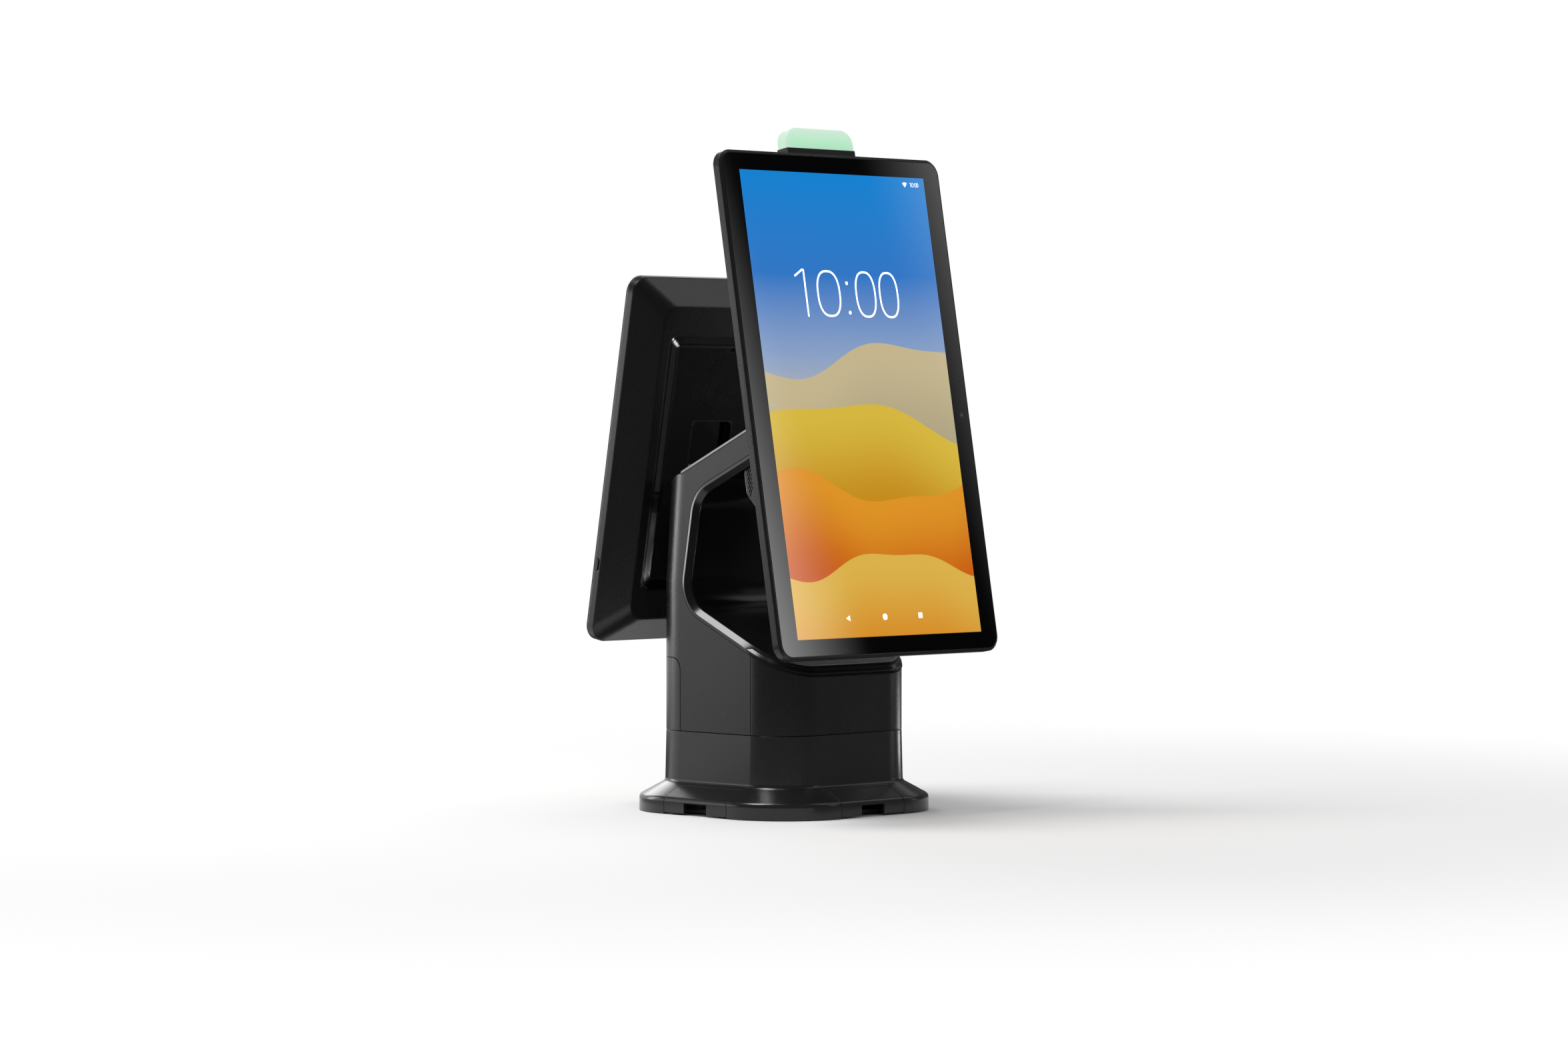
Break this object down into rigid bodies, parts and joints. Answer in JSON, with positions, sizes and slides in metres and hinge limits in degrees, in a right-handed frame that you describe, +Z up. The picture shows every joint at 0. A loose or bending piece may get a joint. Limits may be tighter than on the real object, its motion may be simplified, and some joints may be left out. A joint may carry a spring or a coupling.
{
  "type": "two-sided point-of-sale terminal",
  "caption": "Countertop terminal with a large portrait customer display and a smaller operator display that tilt on a shared square column stand with an open neck and a status light bar.",
  "frame": {"origin": "centre of the column stand on the surface it rests on", "axes": "+Z up, the large display faces -Y, +X to the right seen from in front of it"},
  "size_m": [0.321, 0.3309, 0.7],
  "materials": {
    "case_plastic": "fine textured satin charcoal",
    "liner_plastic": "smooth black",
    "ribbed_plastic": "fine diagonal ribs, black",
    "cover_glass": "black bordered cover glass, stated opaque because the lit picture is drawn on it",
    "light_plastic": "translucent green diffuser",
    "steel": "zinc plated",
    "sheet_aluminium": "mill finish sheet",
    "bronze": "oiled bush bronze",
    "circuit_board": "green solder mask",
    "dark_module": "moulded black",
    "foot_rubber": "matt rubber"
  },
  "bodies": {
    "stand": {"base_plate": "steel", "rubber_feet": "foot_rubber", "base_screws": "steel", "base_skirt": "case_plastic", "cable_cover_front": "case_plastic", "cable_cover_rear": "case_plastic", "cable_cover_left": "case_plastic", "cable_cover_right": "case_plastic", "post": "steel", "arm_beam": "steel", "front_cover": "case_plastic", "neck_shell": "case_plastic", "neck_liner": "liner_plastic", "power_supply": "sheet_aluminium", "io_board": "circuit_board", "io_ports": "steel", "rear_bracket": "steel", "main_bushes": "bronze", "rear_bushes": "bronze"},
    "rear_door": {"rear_door": "case_plastic"},
    "main_display": {"main_mount_plate": "steel", "main_mount_screws": "steel", "main_shaft": "steel", "main_hinge_nuts": "steel", "main_washers": "steel", "hub_housing": "case_plastic", "main_back": "case_plastic", "main_frame": "case_plastic", "main_glass": "cover_glass", "main_panel": "sheet_aluminium", "main_chassis": "sheet_aluminium", "main_board": "circuit_board", "main_speakers": "dark_module", "main_camera": "dark_module", "port_cover": "case_plastic", "main_screws": "steel", "light_foot": "case_plastic", "light_board": "circuit_board", "light_diffuser": "light_plastic"},
    "main_button": {"main_button": "dark_module"},
    "rear_display": {"rear_mount_plate": "steel", "rear_mount_screws": "steel", "rear_shaft": "steel", "rear_hinge_nuts": "steel", "rear_washers": "steel", "rear_back": "case_plastic", "rear_frame": "case_plastic", "rear_glass": "cover_glass", "rear_panel": "sheet_aluminium", "rear_chassis": "sheet_aluminium", "rear_board": "circuit_board", "hatch_panel": "ribbed_plastic", "rear_speaker": "dark_module", "rear_screws": "steel"},
    "rear_button": {"rear_button": "dark_module"}
  },
  "joints": [
    {"name": "main_tilt", "type": "hinge", "parent": "stand", "child": "main_display", "pos_m": [0, -0.052, 0.376], "axis": [1, 0, 0], "range_deg": [-10, 8]},
    {"name": "rear_tilt", "type": "hinge", "parent": "stand", "child": "rear_display", "pos_m": [0, 0.108, 0.305], "axis": [1, 0, 0], "range_deg": [-8, 10]},
    {"name": "main_power_press", "type": "slide", "parent": "main_display", "child": "main_button", "axis": [-1, 0, 0], "range_m": [0, 0.001], "stiffness_N_per_m": 1500, "springref_m": -0.0004},
    {"name": "rear_power_press", "type": "slide", "parent": "rear_display", "child": "rear_button", "axis": [1, 0, 0], "range_m": [0, 0.001], "stiffness_N_per_m": 1500, "springref_m": -0.0004},
    {"name": "rear_door_pull", "type": "slide", "parent": "stand", "child": "rear_door", "axis": [0, 1, 0], "range_m": [0, 0.06]}
  ]
}
